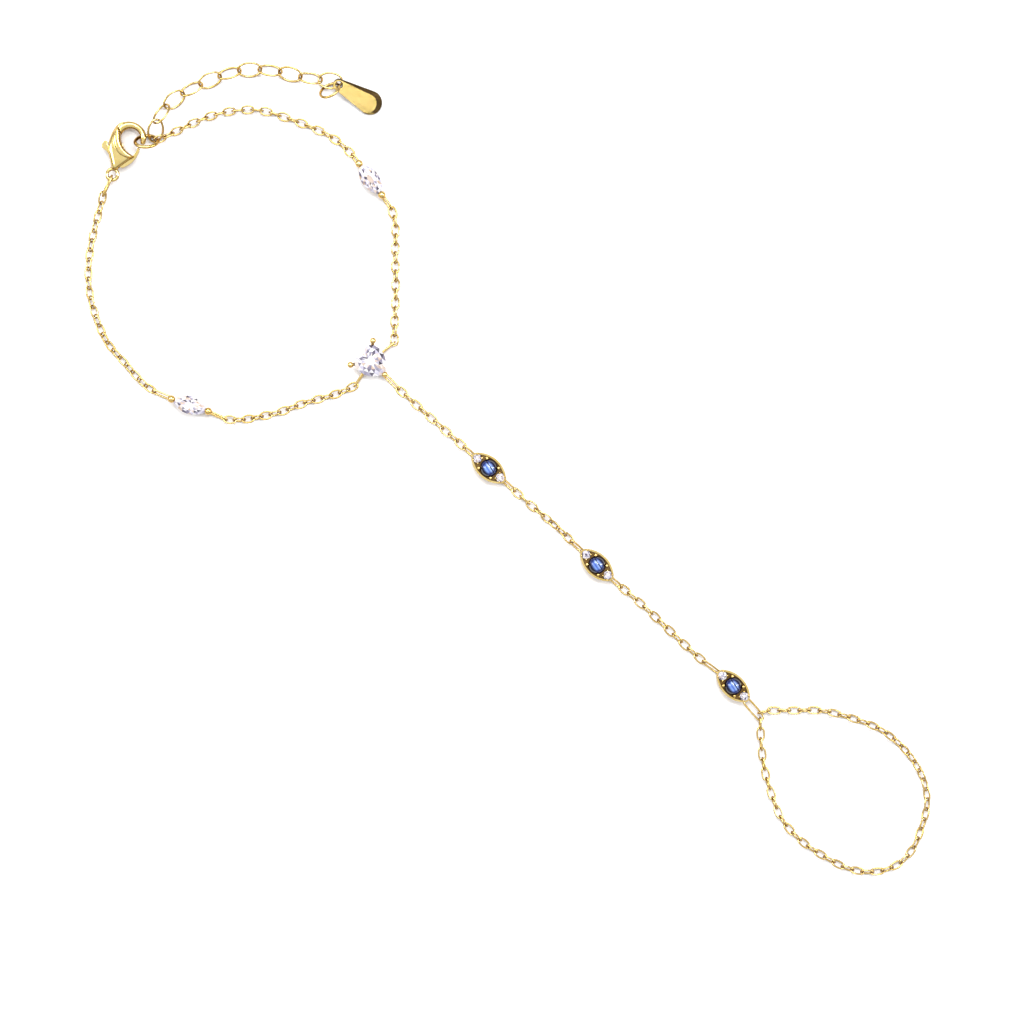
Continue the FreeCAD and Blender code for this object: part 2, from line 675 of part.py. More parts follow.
def marquise_stone(scale=1.0):
    girdle, depth = size("marquise_girdle"), size("marquise_depth")
    return faceted_stone(marquise_plan, girdle, depth, MARQUISE_TABLE, scale)


def heart_stone(scale=1.0):
    return faceted_stone(heart_outline, size("heart_girdle"), size("heart_depth"), TABLE, scale)


def side_stone(scale=1.0):
    outline = round_outline(size("side_stone_radius"), SIDE_STONE_SIDES)
    return faceted_stone(outline, size("side_stone_girdle"), size("side_stone_depth"), TABLE, scale)


def grown(stone, middle, half):
    # The stone with its play all round, which cuts its seat into the metal
    factor = 1 + size("stone_play") / half
    matrix = FreeCAD.Matrix()
    matrix.move(Vector(0, 0, -middle))
    matrix.scale(factor, factor, factor)
    matrix.move(Vector(0, 0, middle))
    return stone.transformGeometry(matrix)


# Settings

def held_joint(hold):
    # Either a run's first or last joint, or a point in plan
    height = size("chain_height")
    if isinstance(hold[0], str):
        return route_joints(hold[0], height)[hold[1]]
    return plan(*hold, height)


def arm(label, setting_place, foot, hold, roll, width="arm_half_width"):
    # A soldered wire loop from its foot in the setting to a joint, where it holds the next wire
    wire = size("arm_wire")
    half_width = size(width)
    height = size("chain_height")
    joint = setting_place.inverse().multVec(held_joint(hold))
    start = Vector(*foot, height)
    span = Vector(joint.x, joint.y, height) - start
    length = span.Length + (wire + size("link_play")) / 2
    edges = oval_edges(length / 2, half_width, half_width - size("arm_flat"))
    path = Part.Wire([edge.toShape() for edge in edges])
    section = Part.Wire([Part.Circle(Vector(length / 2, 0, 0), Vector(0, 1, 0), wire / 2).toShape()])
    turn = Rotation(UP, math.degrees(math.atan2(span.y, span.x)))
    middle = start + turn.multVec(Vector(length / 2, 0, 0))
    loop = path.makePipeShell([section], True, False)
    return feature("loop_" + label, loop, Placement(middle, turn * Rotation(ALONG, roll)))


def post(name, foot, head, radius):
    # A round post from its foot to its head, bound to a radius
    span = Vector(*head) - Vector(*foot)
    item = primitive("Cylinder", name, Placement(Vector(*foot), Rotation(UP, span)), Radius=radius)
    item.Height = span.Length
    return item


def ball(name, centre, radius):
    return primitive("Sphere", name, Placement(Vector(*centre), Rotation()), Radius=radius)


def placed(item, place):
    item.Placement = place
    nodes.append(item)


# Marquise setting: tag, centre, turn in plan
MARQUISES = (
    ("a", (-52.30, 10.48), -18.4),
    ("b", (-22.61, 47.60), -54.0),
)
# Loop: label, its foot in the setting, the joint it holds, roll and, where it differs, its half width
LOOPS = {
    "marquise_a": (
        ("near", (-2.60, 0.0), ("chain_left", -1), -58),
        ("far", (2.60, 0.0), ("chain_lower", 0), 70),
    ),
    "marquise_b": (
        ("near", (-2.60, 0.0), ("chain_upper", -1), -62),
        ("far", (2.60, 0.0), ("chain_right", 0), 68),
    ),
    "heart": (
        ("right", (0.30, 1.45), (-18.81, 20.738), -88.9),
        ("lower", (0.30, -1.45), (-25.151, 13.791), -85.4),
        ("hand", (1.45, 0.0), ("hand_chain_a", 0), 60),
    ),
    "eye_a": (
        ("near", (-3.0, 0.0), ("hand_chain_a", -1), -60),
        ("far", (3.0, 0.0), ("hand_chain_b", 0), 60),
    ),
    "eye_b": (
        ("near", (-3.0, 0.0), ("hand_chain_b", -1), -60),
        ("far", (3.0, 0.0), ("hand_chain_c", 0), 60),
    ),
    "eye_c": (
        ("near", (-3.08, 0.0), ("hand_chain_c", -1), -60),
        ("far", (2.99, -0.26), (41.720, -41.061), -6, "wide_arm_half_width"),
    ),
}


def setting_loops(setting, place):
    return [arm("%s_%s" % (setting, label), place, *rest) for label, *rest in LOOPS[setting]]


# A marquise setting's post and bead: distance from the middle along the stone, and height
MARQUISE_POST_FOOT, MARQUISE_POST_HEAD, MARQUISE_BEAD = (2.45, 0.28), (3.15, 1.75), (3.18, 1.80)
RAIL_INNER_ROUND = 0.35


def marquise_setting(tag, place):
    metal = setting_loops("marquise_" + tag, place)
    half_length, half_width = size("rail_half_length"), size("rail_half_width")
    end_round, wall = size("rail_round"), size("rail_wall")

    def plate(inset):
        turn = RAIL_INNER_ROUND if inset else end_round
        edges = oval_edges(half_length - inset, half_width - inset, turn)
        return Part.Face(Part.Wire([edge.toShape() for edge in edges])).extrude(UP * size("rail_height"))

    metal.append(feature("marquise_rail_" + tag, plate(0).cut(plate(wall))))
    for side, end in ((-1, "near"), (1, "far")):
        label = "%s_%s" % (tag, end)
        foot, head, centre = (
            (side * along, 0, height)
            for along, height in (MARQUISE_POST_FOOT, MARQUISE_POST_HEAD, MARQUISE_BEAD))
        metal.append(post("marquise_post_" + label, foot, head, bound("marquise_post")))
        metal.append(ball("marquise_bead_" + label, centre, bound("marquise_bead")))
    joined = fused("marquise_metal_" + tag, metal)
    stone = grown(marquise_stone(), size("marquise_girdle"), size("marquise_half_width"))
    return cut("marquise_setting_" + tag, joined, feature("marquise_seat_" + tag, stone))


for tag, centre, yaw in MARQUISES:
    place = Placement(plan(*centre), Rotation(UP, yaw))
    placed(marquise_setting(tag, place), place)
    placed(feature("marquise_stone_" + tag, marquise_stone()), place)

# Heart setting: its stone points along x
HEART_PLACE = Placement(plan(-22.61, 17.74), Rotation(UP, -43.0))
# Prong: label, bead's place and radius
HEART_PRONGS = (
    ("left", -1.95, -2.72, 0.50),
    ("top", -1.95, 2.72, 0.50),
    ("tip", 3.28, 0.00, 0.46),
)


# Heights of the two rings, of the posts' heads and of the beads
HEART_BASE, HEART_GALLERY, HEART_POST_HEAD, HEART_BEAD = 0.20, 0.62, 2.00, 2.05
HEART_SEAT_HALF = 2.0


def heart_ring(name, mean, height):
    return primitive(
        "Torus", name, Placement(UP * height, Rotation()),
        Radius1=bound(mean), Radius2=bound("heart_ring_wire"),
    )


def heart_setting():
    metal = setting_loops("heart", HEART_PLACE)
    metal.append(heart_ring("heart_base", "heart_base_ring", HEART_BASE))
    metal.append(heart_ring("heart_gallery", "heart_gallery_ring", HEART_GALLERY))
    base_ring = size("heart_base_ring")
    for label, x, y, radius in HEART_PRONGS:
        reach = math.hypot(x, y)
        foot = (base_ring * x / reach, base_ring * y / reach, HEART_BASE)
        metal.append(post("heart_post_" + label, foot, (x, y, HEART_POST_HEAD), bound("heart_post")))
        metal.append(ball("heart_bead_" + label, (x, y, HEART_BEAD), str(radius)))
    joined = fused("heart_metal", metal)
    seat = feature("heart_seat", grown(heart_stone(), size("heart_girdle"), HEART_SEAT_HALF))
    return cut("heart_setting", joined, seat)


placed(heart_setting(), HEART_PLACE)
placed(feature("heart_stone", heart_stone()), HEART_PLACE)

# Eye setting: tag, centre, turn in plan
EYES = (
    ("a", (-3.17, 0.12), -40.0),
    ("b", (14.62, -15.81), -43.5),
    ("c", (37.04, -35.72), -43.7),
)


def domed(name, base, radius, height, swell):
    # A drum under a ball: a cabochon, or the seat that it leaves
    top = base + size(height)
    drum = primitive(
        "Cylinder", "drum_" + name, Placement(UP * base, Rotation()),
        Radius=bound(radius), Height=bound(height),
    )
    centre = UP * (top - size(swell))
    bulb = primitive("Sphere", "bulb_" + name, Placement(centre, Rotation()), Radius=bound(swell))
    item = doc.addObject("Part::MultiCommon", name)
    item.Shapes = [drum, bulb]
    return item


# Prongs of a cabochon: their places across the boat and their heights
PRONG_PLACE, PRONG_FOOT, PRONG_HEAD = (1.32, 1.09), 1.20, 1.95
BEAD_PLACE, BEAD_HEIGHT = (1.25, 1.03), 1.98
# Prongs of a side stone: label, distance along from its centre, distance across; and their heights
SIDE_PRONGS = (("in", -0.56, 0.56), ("out", 0.42, 0.62))
SIDE_PRONG_HEAD, SIDE_BEAD_HEIGHT = 1.86, 1.88
BEYOND = 1.0


def eye_boat():
    # A boat with its deck below the rim, hollow underneath, with openings under its three stones
    half_length, half_width = size("boat_half_length"), size("boat_half_width")
    end_round, wall, top = size("boat_round"), size("boat_wall"), size("boat_height")

    def plate(inset, low, high):
        edges = oval_edges(half_length - inset, half_width - inset, end_round - inset, low)
        return Part.Face(Part.Wire([edge.toShape() for edge in edges])).extrude(UP * (high - low))

    boat = plate(0, 0, top)
    boat = boat.cut(plate(wall, top - size("boat_recess"), top + BEYOND))
    boat = boat.cut(plate(wall, -BEYOND, size("boat_hollow")))
    boat = boat.cut(Part.makeCylinder(size("seat_opening"), top))
    seat_base = size("cabochon_base") - size("stone_play")
    boat = boat.cut(Part.makeCylinder(size("seat_radius"), top, UP * seat_base))
    for side in (-1, 1):
        centre = ALONG * (side * size("side_stone_offset"))
        boat = boat.cut(Part.makeCylinder(size("side_opening"), top, centre))
    return boat


def beaded_prong(label, foot, head, radius, bead, bead_radius):
    return [
        post("prong_" + label, foot, head, bound(radius)),
        ball("bead_" + label, bead, bound(bead_radius)),
    ]


def eye_setting(tag, place):
    offset = size("side_stone_offset")
    metal = setting_loops("eye_" + tag, place) + [feature("boat_" + tag, eye_boat())]
    for along in (-1, 1):
        for across in (-1, 1):
            label = "%s_%d%d" % (tag, along + 1, across + 1)
            x, y = along * PRONG_PLACE[0], across * PRONG_PLACE[1]
            bead = (along * BEAD_PLACE[0], across * BEAD_PLACE[1], BEAD_HEIGHT)
            metal += beaded_prong(
                label, (x, y, PRONG_FOOT), (x, y, PRONG_HEAD), "prong_radius", bead, "bead_radius")
            for end, reach, lean in SIDE_PRONGS:
                x, y = along * (offset + reach), across * lean
                metal += beaded_prong(
                    "%s_%s" % (label, end), (x, y, PRONG_FOOT), (x, y, SIDE_PRONG_HEAD), "side_prong",
                    (x, y, SIDE_BEAD_HEIGHT), "side_bead")
    joined = fused("eye_metal_" + tag, metal)
    seat_base = size("cabochon_base") - size("stone_play")
    seats = [domed("seat_" + tag, seat_base, "seat_radius", "seat_height", "seat_swell")]
    for side in (-1, 1):
        stone = grown(side_stone(), size("side_stone_girdle"), size("side_stone_radius"))
        place_on_boat = Placement(ALONG * (side * offset), Rotation())
        seats.append(feature("side_seat_%s_%d" % (tag, side + 1), stone, place_on_boat))
    return cut("eye_setting_" + tag, joined, fused("eye_seats_" + tag, seats))


for tag, centre, yaw in EYES:
    place = Placement(plan(*centre), Rotation(UP, yaw))
    placed(eye_setting(tag, place), place)
    stone = domed(
        "cabochon_" + tag, size("cabochon_base"), "cabochon_radius", "cabochon_height", "cabochon_swell")
    placed(stone, place)
    for label, side in (("near", -1), ("far", 1)):
        offset = Placement(Vector(side * size("side_stone_offset"), 0, 0), Rotation())
        placed(feature("side_stone_%s_%s" % (label, tag), side_stone()), place * offset)


# Checks, then one file for each node

doc.recompute()
for item in doc.Objects:
    if "Invalid" in item.State or "Error" in item.State:
        raise RuntimeError("%s: %s" % (item.Name, item.State))

os.makedirs("parts", exist_ok=True)
box = FreeCAD.BoundBox()
for node in nodes:
    node.Label = node.Name
    if node.Shape.isNull() or not node.Shape.isValid():
        raise RuntimeError("%s has no valid shape" % node.Name)
    box.add(node.Shape.BoundBox)
    node.Shape.exportStep("parts/%s.step" % node.Label)
    print("%-22s solids %3d  volume %8.3f" % (node.Label, len(node.Shape.Solids), node.Shape.Volume))
print("box", box)
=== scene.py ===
import math
import random

import bmesh
import bpy
from mathutils import Matrix, Vector
from mathutils.geometry import delaunay_2d_cdt


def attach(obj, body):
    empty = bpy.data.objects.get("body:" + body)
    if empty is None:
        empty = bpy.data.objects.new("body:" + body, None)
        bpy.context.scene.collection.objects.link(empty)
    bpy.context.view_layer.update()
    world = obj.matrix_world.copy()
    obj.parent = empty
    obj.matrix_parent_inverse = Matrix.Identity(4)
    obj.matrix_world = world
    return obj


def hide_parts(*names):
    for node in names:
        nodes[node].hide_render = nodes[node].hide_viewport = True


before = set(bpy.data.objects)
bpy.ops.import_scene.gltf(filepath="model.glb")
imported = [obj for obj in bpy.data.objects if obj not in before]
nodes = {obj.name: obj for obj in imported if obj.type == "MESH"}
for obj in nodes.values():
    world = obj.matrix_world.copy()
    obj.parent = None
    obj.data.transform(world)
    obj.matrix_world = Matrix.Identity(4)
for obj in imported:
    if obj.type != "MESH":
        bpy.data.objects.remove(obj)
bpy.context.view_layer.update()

# The hand chain bracelet on a pale floor, seen from straight above. Lengths are written in
# millimetres and become metres through MM. X is right and Y is up in the photograph, Z is up.

MM = 0.001
scene = bpy.context.scene


# Materials

WHITE = (1.0, 1.0, 1.0)
# Noise scales, in cycles a metre: metal's broad tints, fine wear and grain, then those of the stones
BLOTCHES, WEAR, GRAIN = 420.0, 2600.0, 5200.0
SILK, POLISH, SATIN, CLOUDS = 900.0, 1500.0, 1800.0, 1900.0


def new_material(name):
    material = bpy.data.materials.new(name)
    material.use_nodes = True
    tree = material.node_tree
    return material, tree, tree.nodes["Principled BSDF"]


def add(tree, kind, **values):
    node = tree.nodes.new(kind)
    for socket, value in values.items():
        node.inputs[socket].default_value = value
    return node


def noise(tree, scale, detail=3.0, roughness=0.55):
    place = tree.nodes.new("ShaderNodeTexCoord")
    node = add(tree, "ShaderNodeTexNoise", Scale=scale, Detail=detail, Roughness=roughness)
    tree.links.new(place.outputs["Object"], node.inputs["Vector"])
    return node.outputs["Fac"]


def ramp(tree, source, *stops):
    node = tree.nodes.new("ShaderNodeValToRGB")
    elements = node.color_ramp.elements
    while len(elements) < len(stops):
        elements.new(0.5)
    for element, (position, colour) in zip(elements, stops):
        element.position = position
        element.color = (*colour, 1.0)
    tree.links.new(source, node.inputs["Fac"])
    return node.outputs["Color"]


def ranged(tree, source, low, high, start=0.3, end=0.7):
    # Noise stays mostly between 0.3 and 0.7, which becomes the range from low to high
    node = tree.nodes.new("ShaderNodeMapRange")
    for socket, value in (("From Min", start), ("From Max", end), ("To Min", low), ("To Max", high)):
        node.inputs[socket].default_value = value
    tree.links.new(source, node.inputs["Value"])
    return node.outputs["Result"]


# The Mix node's sockets for colours
MIX_FIRST, MIX_SECOND, MIX_RESULT = 6, 7, 2


def multiplied(tree, first, second):
    node = tree.nodes.new("ShaderNodeMix")
    node.data_type = "RGBA"
    node.blend_type = "MULTIPLY"
    node.inputs["Factor"].default_value = 1.0
    tree.links.new(first, node.inputs[MIX_FIRST])
    tree.links.new(second, node.inputs[MIX_SECOND])
    return node.outputs[MIX_RESULT]


def bumped(tree, shader, source, distance, strength):
    node = add(tree, "ShaderNodeBump", Distance=distance, Strength=strength)
    tree.links.new(source, node.inputs["Height"])
    tree.links.new(node.outputs["Normal"], shader.inputs["Normal"])


def painted_crevice_shade(tree, distance, dark):
    # Painted shade: base colour darker where two pieces of metal come close
    node = add(tree, "ShaderNodeAmbientOcclusion", Distance=distance)
    node.samples = 6
    return ramp(tree, node.outputs["AO"], (0.25, dark), (0.85, WHITE))


def painted_steep_shade(tree, *stops):
    # Colour by how steeply the surface stands: painted shade and dark reflection down a wire's flanks and a
    # dome's sides
    place = tree.nodes.new("ShaderNodeNewGeometry")
    split = tree.nodes.new("ShaderNodeSeparateXYZ")
    tree.links.new(place.outputs["Normal"], split.inputs["Vector"])
    return ramp(tree, split.outputs["Z"], *stops)


def gold(name, pale, warm, dark, flank_shade, rough, reach):
    material, tree, shader = new_material(name)
    shader.inputs["Metallic"].default_value = 1.0
    tint = ramp(tree, noise(tree, BLOTCHES), (0.38, warm), (0.60, pale))
    # Painted shade in the crevices, where pieces of metal come close
    colour = multiplied(tree, tint, painted_crevice_shade(tree, reach * MM, dark))
    # Painted shade and dark reflection down the steep flanks
    sides = painted_steep_shade(tree, (0.0, flank_shade), (0.52, flank_shade), (0.84, WHITE))
    colour = multiplied(tree, colour, sides)
    tree.links.new(colour, shader.inputs["Base Color"])
    wear = noise(tree, WEAR, 5.0, 0.7)
    tree.links.new(ranged(tree, wear, rough, rough + 0.10), shader.inputs["Roughness"])
    bumped(tree, shader, noise(tree, GRAIN, 2.0), 0.02 * MM, 0.12)
    return material


def stone(name):
    # Each facet's tint is a painted reflection of another part of the room, picked by the facet's own value
    material, tree, shader = new_material(name)
    shader.inputs["Transmission Weight"].default_value = 0.30
    shader.inputs["IOR"].default_value = 1.60
    shader.inputs["Coat Weight"].default_value = 0.5
    shader.inputs["Coat Roughness"].default_value = 0.02
    value = tree.nodes.new("ShaderNodeAttribute")
    value.attribute_name = "facet_reflection"
    # Painted reflections from the dark end to white, and on to the tan facets
    facet_reflections = ramp(tree, value.outputs["Fac"],
                  (0.00, (0.04, 0.03, 0.05)), (0.12, (0.24, 0.22, 0.30)), (0.26, (0.52, 0.50, 0.63)),
                  (0.38, (0.78, 0.76, 0.88)), (0.50, (0.96, 0.95, 0.98)), (0.78, (1.0, 0.99, 0.98)),
                  (0.86, (0.86, 0.68, 0.54)), (0.94, (0.60, 0.42, 0.28)), (1.00, (0.92, 0.88, 0.86)))
    cloud = ramp(tree, noise(tree, CLOUDS, 2.0), (0.38, (0.84, 0.82, 0.92)), (0.52, WHITE))
    tree.links.new(multiplied(tree, facet_reflections, cloud), shader.inputs["Base Color"])
    tree.links.new(ranged(tree, noise(tree, POLISH), 0.01, 0.06), shader.inputs["Roughness"])
    return material


# Direction across a cabochon's painted highlight, in shares of its box, and where its colours start
HIGHLIGHT_ACROSS, HIGHLIGHT_START = (0.83, 0.55, 0.0), 0.19
# The stone's own navy, and the painted dark reflection line across its highlight
NAVY, DARK_REFLECTION_LINE = (0.003, 0.012, 0.09), (0.004, 0.012, 0.08)


def cabochon(name):
    material, tree, shader = new_material(name)
    shader.inputs["Coat Weight"].default_value = 0.8
    shader.inputs["Coat Roughness"].default_value = 0.02
    shader.inputs["Specular IOR Level"].default_value = 0.35
    # Painted highlight: pale blue reflections of the lights across the middle, split by a painted dark
    # reflection line, and painted shade that takes the stone to black at its rim
    place = tree.nodes.new("ShaderNodeTexCoord")
    along = tree.nodes.new("ShaderNodeVectorMath")
    along.operation = "DOT_PRODUCT"
    along.inputs[1].default_value = HIGHLIGHT_ACROSS
    tree.links.new(place.outputs["Generated"], along.inputs[0])
    painted_highlight = ramp(tree, ranged(tree, along.outputs["Value"], 0.0, 1.0, HIGHLIGHT_START, HIGHLIGHT_START + 1.0),
                 (0.20, NAVY), (0.34, (0.20, 0.36, 0.80)), (0.44, (0.04, 0.11, 0.46)),
                 (0.55, (0.42, 0.60, 0.95)), (0.585, DARK_REFLECTION_LINE), (0.62, DARK_REFLECTION_LINE),
                 (0.66, (0.34, 0.50, 0.90)), (0.80, (0.006, 0.02, 0.14)))
    # Painted shade: the dome goes black as its sides steepen towards its rim
    rim = painted_steep_shade(tree, (0.55, (0.02, 0.02, 0.06)), (0.80, (0.10, 0.12, 0.26)), (0.92, WHITE))
    silk = ramp(tree, noise(tree, SILK, 4.0, 0.6), (0.36, (0.60, 0.64, 0.80)), (0.58, WHITE))
    # Painted highlight and shade, with the stone's own silky tone
    depth = multiplied(tree, multiplied(tree, painted_highlight, rim), silk)
    # Painted shade round the stone's seat
    colour = multiplied(tree, depth, painted_crevice_shade(tree, 0.6 * MM, (0.05, 0.05, 0.08)))
    tree.links.new(colour, shader.inputs["Base Color"])
    tree.links.new(ranged(tree, noise(tree, SATIN), 0.05, 0.13), shader.inputs["Roughness"])
    return material


# Golds: name, pale tint, warm tint, painted shade in crevices, painted shade on flanks, roughness, reach of
# the painted crevice shade in millimetres
wire_gold, set_gold, deck_shade_gold, cast_gold, tag_gold, tag_dark_reflection = [gold(*row) for row in (
    ("wire_gold", (0.80, 0.61, 0.25), (0.69, 0.49, 0.15), (0.20, 0.11, 0.03), (0.50, 0.35, 0.15), 0.12, 0.5),
    ("set_gold", (0.86, 0.67, 0.29), (0.76, 0.55, 0.18), (0.16, 0.08, 0.02), (0.62, 0.46, 0.22), 0.11, 0.35),
    ("deck_shade_gold", (0.38, 0.24, 0.09), (0.27, 0.16, 0.05), (0.10, 0.06, 0.03), (0.40, 0.26, 0.10), 0.16, 0.6),
    ("cast_gold", (0.90, 0.72, 0.30), (0.83, 0.62, 0.21), (0.20, 0.11, 0.03), (0.40, 0.27, 0.09), 0.07, 0.5),
    ("tag_gold", (0.42, 0.31, 0.11), (0.35, 0.26, 0.08), (0.25, 0.16, 0.05), (0.30, 0.20, 0.10), 0.14, 0.5),
    ("tag_dark_reflection", (0.13, 0.08, 0.03), (0.08, 0.05, 0.02), (0.10, 0.06, 0.02), (0.30, 0.20, 0.10), 0.10, 0.5),
)]
clear_stone = stone("clear_stone")
blue_stone = cabochon("blue_stone")


# Shading of the carried-over CAD nodes

SMOOTH_ANGLE = math.radians(35)
# The floor between the stones of an eye setting gets painted shade, a darker and a little rougher gold for
# the recess round the stones: its heights, and how level it is
DECK_LOW, DECK_HIGH, DECK_LEVEL = 1.30, 1.60, 0.97


def dress(name, *materials, smooth=True):
    mesh = nodes[name].data
    mesh.materials.clear()
    for material in materials:
        mesh.materials.append(material)
    mesh.polygons.foreach_set("use_smooth", [smooth] * len(mesh.polygons))
    if smooth:
        mesh.set_sharp_from_angle(angle=SMOOTH_ANGLE)


for name in nodes:
    if "stone" in name:
        dress(name, clear_stone, smooth=False)
    elif name.startswith("cabochon"):
        dress(name, blue_stone)
    elif name.startswith("eye_setting"):
        dress(name, set_gold, deck_shade_gold)
        # Faces of the floor between the stones take the second material, painted shade
        for face in nodes[name].data.polygons:
            if face.normal.z > DECK_LEVEL and DECK_LOW < face.center.z / MM < DECK_HIGH:
                face.material_index = 1
    elif "_setting" in name:
        dress(name, set_gold)
    elif name == "extender_tag":
        dress(name, tag_gold)
    elif name in ("clasp_body", "clasp_lever"):
        dress(name, cast_gold)
    else:
        dress(name, wire_gold)


# Helpers for the pieces that replace CAD nodes

# The CAD centres its box on the origin by moving everything by this much
BOX_SHIFT = Vector((0.074, 0.018, 0.0))


def plan(x, y, z):
    # A place measured in the photograph's plan, in the frame of the model
    return Vector((x, y, z)) + BOX_SHIFT


def on_circle(centre, radius, degrees):
    turn = math.radians(degrees)
    return (centre[0] + radius * math.cos(turn), centre[1] + radius * math.sin(turn))


def arc_through(start, middle, end, count):
    # Points along the arc after its start, up to its end
    ax, ay, bx, by, cx, cy = *start, *middle, *end
    d = 2 * (ax * (by - cy) + bx * (cy - ay) + cx * (ay - by))
    a2, b2, c2 = ax * ax + ay * ay, bx * bx + by * by, cx * cx + cy * cy
    ux = (a2 * (by - cy) + b2 * (cy - ay) + c2 * (ay - by)) / d
    uy = (a2 * (cx - bx) + b2 * (ax - cx) + c2 * (bx - ax)) / d
    radius = math.hypot(ax - ux, ay - uy)
    first = math.atan2(ay - uy, ax - ux)
    last = math.atan2(cy - uy, cx - ux)
    turns = (last - first) % (2 * math.pi)
    if (math.atan2(by - uy, bx - ux) - first) % (2 * math.pi) > turns:
        turns -= 2 * math.pi
    return [on_circle((ux, uy), radius, math.degrees(first + turns * i / count))
            for i in range(1, count + 1)]


def outline(start, steps, count=10):
    # A closed outline: a step of one point is a line, and one of two points an arc through the first
    points = [start]
    for step in steps:
        if len(step) == 1:
            points.append(step[0])
        else:
            points.extend(arc_through(points[-1], step[0], step[1], count))
    return points[:-1]


def finished(name, bm, material, place, smooth=True):
    # An object from a form drawn in millimetres in its own frame
    mesh = bpy.data.meshes.new(name)
    bmesh.ops.recalc_face_normals(bm, faces=bm.faces)
    bm.to_mesh(mesh)
    bm.free()
    mesh.transform(Matrix.Scale(MM, 4) @ place)
    mesh.materials.append(material)
    mesh.polygons.foreach_set("use_smooth", [smooth] * len(mesh.polygons))
    obj = bpy.data.objects.new(name, mesh)
    scene.collection.objects.link(obj)
    return obj


def prism(bm, points, low, high):
    # A straight-sided form between two heights
    lower = [bm.verts.new((x, y, low)) for x, y in points]
    upper = [bm.verts.new((x, y, high)) for x, y in points]
    bm.faces.new(lower)
    bm.faces.new(upper)
    for i in range(len(points)):
        j = (i + 1) % len(points)
        bm.faces.new((lower[i], lower[j], upper[j], upper[i]))


def edge_distance(x, y, points):
    # How far a point is from the nearest edge of an outline
    best = math.inf
    for (ax, ay), (bx, by) in zip(points, points[1:] + points[:1]):
        dx, dy = bx - ax, by - ay
        t = max(0.0, min(1.0, ((x - ax) * dx + (y - ay) * dy) / (dx * dx + dy * dy)))
        best = min(best, math.hypot(x - ax - t * dx, y - ay - t * dy))
    return best


# A cushion's shoulder follows a superellipse of this power, over sheets meshed at this step
BULGE = 2.3
SHEET_STEP = 0.13


def cushion(bm, points, half_height, shoulder):
    # A closed form on an outline, level in its middle and rounded down to the outline's edge
    low_x, high_x = min(p[0] for p in points), max(p[0] for p in points)
    low_y, high_y = min(p[1] for p in points), max(p[1] for p in points)
    inside = []
    for i in range(int((high_x - low_x) / SHEET_STEP) + 2):
        for j in range(int((high_y - low_y) / SHEET_STEP) + 2):
            inside.append(Vector((low_x + i * SHEET_STEP, low_y + j * SHEET_STEP)))
    flat = [Vector(p) for p in points]
    edges = [(i, (i + 1) % len(flat)) for i in range(len(flat))]
    verts, _, faces, _, _, _ = delaunay_2d_cdt(flat + inside, edges, [], 1, 1e-5)
    used = sorted({i for face in faces for i in face})
    reach = {i: edge_distance(verts[i].x, verts[i].y, points) for i in used}
    sheets = []
    for side in (1, -1):
        made = {}
        for i in used:
            slope = min(1.0, reach[i] / shoulder)
            rise = half_height * max(0.0, 1 - (1 - slope) ** BULGE) ** (1 / BULGE)
            made[i] = bm.verts.new((verts[i].x, verts[i].y, side * rise))
        for face in faces:
            bm.faces.new([made[i] for i in face])
        sheets += made.values()
    bmesh.ops.remove_doubles(bm, verts=sheets, dist=1e-4)


def tube(bm, centres, radii, sides=28):
    # A capped round tube along a level path, with its own radius at each point
    rings = []
    count = len(centres)
    for i, centre in enumerate(centres):
        before, after = centres[max(0, i - 1)], centres[min(count - 1, i + 1)]
        heading = Vector(after) - Vector(before)
        heading.normalize()
        across = heading.cross(Vector((0, 0, 1))).normalized()
        rise = across.cross(heading)
        ring = []
        for k in range(sides):
            turn = 2 * math.pi * k / sides
            offset = across * math.cos(turn) * radii[i] + rise * math.sin(turn) * radii[i]
            ring.append(bm.verts.new(Vector(centre) + offset))
        rings.append(ring)
    for first, second in zip(rings, rings[1:]):
        for k in range(sides):
            j = (k + 1) % sides
            bm.faces.new((first[k], first[j], second[j], second[k]))
    bm.faces.new(rings[0])
    bm.faces.new(rings[-1])


def torus(bm, mean, wire, rings=72, sides=24):
    # A round ring about the origin
    made = []
    for i in range(rings):
        a = 2 * math.pi * i / rings
        ring = []
        for k in range(sides):
            b = 2 * math.pi * k / sides
            reach = mean + wire * math.cos(b)
            ring.append(bm.verts.new((reach * math.cos(a), reach * math.sin(a), wire * math.sin(b))))
        made.append(ring)
    for i in range(rings):
        for k in range(sides):
            a, b = made[i], made[(i + 1) % rings]
            bm.faces.new((a[k], b[k], b[(k + 1) % sides], a[(k + 1) % sides]))


def apply_modifiers(obj):
    graph = bpy.context.evaluated_depsgraph_get()
    mesh = bpy.data.meshes.new_from_object(obj.evaluated_get(graph))
    obj.modifiers.clear()
    obj.data = mesh
    mesh.polygons.foreach_set("use_smooth", [True] * len(mesh.polygons))


def cast_form(obj, voxel, passes, cutter=None):
    # Fuses overlapping forms into one skin, cuts it, and rounds its edges as a polished casting's are
    def skin(name):
        remesh = obj.modifiers.new(name, "REMESH")
        remesh.mode = "VOXEL"
        remesh.voxel_size = voxel * MM

    skin("skin")
    if cutter is not None:
        slot = obj.modifiers.new("slot", "BOOLEAN")
        slot.operation = "DIFFERENCE"
        slot.object = cutter
        slot.solver = "EXACT"
        skin("cut_skin")
    rounding = obj.modifiers.new("rounding", "SMOOTH")
    rounding.factor = 0.5
    rounding.iterations = passes
    apply_modifiers(obj)
    if cutter is not None:
        bpy.data.objects.remove(cutter)


# Clasp, in its own frame: x from its base ring to the top of its hook, y to the left

